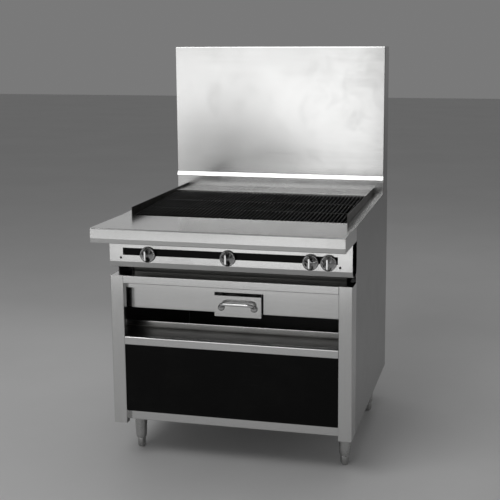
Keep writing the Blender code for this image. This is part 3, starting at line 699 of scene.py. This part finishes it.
def handle_stand(x, radius):
    """A domed foot with a short neck that the bow's bar enters, standing on +Z."""
    shape = bmesh.new()
    dome = arc((radius - 0.0065, 0.0010), 0.0065, 0, 80, 8)
    neck = [(0.0070, 0.0080), (0.0066, 0.0084)]
    lathe(shape, [(0.0, 0.0), (radius, 0.0), *dome, *neck, (0.0, 0.0084)], 48)
    bmesh.ops.translate(shape, verts=shape.verts, vec=(x, 0.0, 0.0))
    return mesh_of("stand", shape)


def add_handle(finish, foot_finish):
    """A bow that leans up from its feet: its arcs and its lean are read from the CAD handle's box."""
    radius, bend, root, foot = 0.0060, 0.0200, 0.0030, 0.0130
    low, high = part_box("drawer_handle")
    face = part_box("grease_drawer")[0].y - GAP
    half = (high.x - low.x) / 2 - foot
    foot_z = low.z + foot
    up, out = high.z - radius - foot_z, face - low.y - radius
    lean, reach = math.atan2(up, out), math.hypot(up, out)
    corner = arc((half - bend, reach - bend), bend, 0, 90, 12)
    bow = [(half, root), *corner]
    bow += [(-x, z) for x, z in reversed(bow)]
    bar = tube([(x, 0.0, z) for x, z in bow], radius)
    place = Matrix.Translation(((low.x + high.x) / 2, face, foot_z)) @ TO_COOK
    bar.transform(place @ Matrix.Rotation(-lean, 4, "X"))
    stand_in("drawer_handle", "drawer_pull", bar, finish)
    body, slot = BODY_OF["drawer_handle"], SLOT_OF["drawer_handle"]
    for name, side in zip(SIDES, (-1, 1)):
        stand = handle_stand(side * half, foot)
        stand.transform(place)
        add_piece(f"{name}_pull_foot", stand, foot_finish, body)


# Legs and feet


def add_leg(name, finish):
    """A spun leg: a bead under its flange, a long taper, and a quicker one down to the foot."""
    low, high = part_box(name)
    flange, flange_thick, bore, bore_top = 0.036, 0.004, 0.0075, 0.130
    top = high.z - flange_thick
    profile = [
        (0.0, high.z),
        (flange - 0.0008, high.z),
        (flange, high.z - 0.0008),
        *arc((flange - 0.0010, top + 0.0010), 0.0010, 0, -90, 3),
        (0.0275, top),
        *arc((0.0258, top - 0.0030), 0.0016, 60, -60, 6),
        (0.0245, top - 0.0060),
        (0.0238, top - 0.0300),
        (0.0216, low.z + 0.0180),
        (0.0204, low.z + 0.0080),
        *arc((0.0160, low.z + 0.0028), 0.0028, 20, -90, 5),
        (bore, low.z),
        (bore, bore_top),
        (0.0, bore_top),
    ]
    shape = bmesh.new()
    lathe(shape, profile, 72)
    mesh = mesh_of(name, shape)
    mesh.transform(Matrix.Translation(((low.x + high.x) / 2, (low.y + high.y) / 2, 0.0)))
    stand_in(name, f"{name}_spun", mesh, finish)


def add_foot(name, leg, finish):
    """A hexagonal bullet foot with a chamfered tip, on a threaded stem."""
    low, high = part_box(name)
    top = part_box(leg)[0].z - GAP
    middle = ((low.x + high.x) / 2, (low.y + high.y) / 2, low.z)
    radius, tip, chamfer, bevel = 0.0175, 0.0115, 0.008, 0.0008
    stem, pitch, depth = 0.0070, 0.0020, 0.0008
    hexagon = bmesh.new()
    outline = [
        (0.0, top),
        (radius - 2 * bevel, top),
        (radius, top - 2 * bevel),
        (radius - bevel, chamfer),
        (tip, 0.0),
        (0.0, 0.0),
    ]
    lathe(hexagon, outline, 6)
    body = bevelled(mesh_of("hexagon", hexagon), bevel)
    thread = bmesh.new()
    turns = int((high.z - top) / pitch)
    ridges = [(0.0, top - 0.003), (stem - depth, top - 0.003)]
    for i in range(turns):
        z = top + i * pitch
        valley = stem - depth
        ridges += [(valley, z + 0.15 * pitch), (stem, z + 0.5 * pitch), (valley, z + 0.85 * pitch)]
    ridges += [(stem - 2 * depth, high.z), (0.0, high.z)]
    lathe(thread, ridges, 32)
    mesh = boolean(body, mesh_of("thread", thread), "UNION")
    mesh.transform(Matrix.Translation(middle))
    stand_in(name, f"{name}_bullet", mesh, finish)


def add_legs(finish):
    for end in ENDS:
        for side in SIDES:
            leg = f"{end}_{side}_leg"
            add_leg(leg, finish)
            add_foot(f"{end}_{side}_foot", leg, finish)


# Fasteners


def screw_mesh(radius, height):
    """A pan-head screw with a crossed recess, standing on +Z."""
    head = bmesh.new()
    angles = [math.radians(10 * i) for i in range(9)]
    crown = [(radius * math.cos(a), 0.25 * height + 0.75 * height * math.sin(a)) for a in angles]
    lathe(head, [(0.0, 0.0), (radius, 0.0), *crown, (0.0, height)], 40)
    mesh = mesh_of("head", head)
    arm, slot, floor = 0.55 * radius, 0.10 * radius, 0.35 * height
    for half in ((arm, slot), (slot, arm)):
        cross = bmesh.new()
        corners = [(-half[0], -half[1]), (half[0], -half[1]), (half[0], half[1]), (-half[0], half[1])]
        loft(cross, [[(x, y, z) for x, y in corners] for z in (floor, 2 * height)])
        mesh = boolean(mesh, mesh_of("cross", cross), "DIFFERENCE")
    return mesh


def add_panel_screws(finish):
    """The two screws that hold the control panel, low down beside the ends of its slot."""
    low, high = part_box("control_panel")
    inset, up = 0.044, 0.037
    for side, x in zip(SIDES, (low.x + inset, high.x - inset)):
        mesh = screw_mesh(0.0045, 0.0020)
        mesh.transform(Matrix.Translation((x, low.y - 0.0001, low.z + up)) @ TO_COOK)
        add_piece(f"{side}_panel_screw", mesh, finish, BODY_OF["control_panel"])


def add_stage(finish):
    half = 30.0
    shape = bmesh.new()
    bmesh.ops.create_grid(shape, x_segments=1, y_segments=1, size=half)
    floor = object_of("floor", mesh_of("floor", shape))
    floor.data.materials.append(finish)
    floor.location.z = CAD_LOW.z


add_camera()
add_lights()
FINISHES = make_finishes()
dress_nodes(FINISHES)
add_grates(FINISHES["iron"])
# the knobs and the handle's feet take the darker chrome, painted shade
add_knobs(FINISHES["painted_shade_chrome"])
add_handle(FINISHES["chrome"], FINISHES["painted_shade_chrome"])
add_legs(FINISHES["satin"])
add_panel_screws(FINISHES["pipe"])
add_stage(floor_finish("floor"))
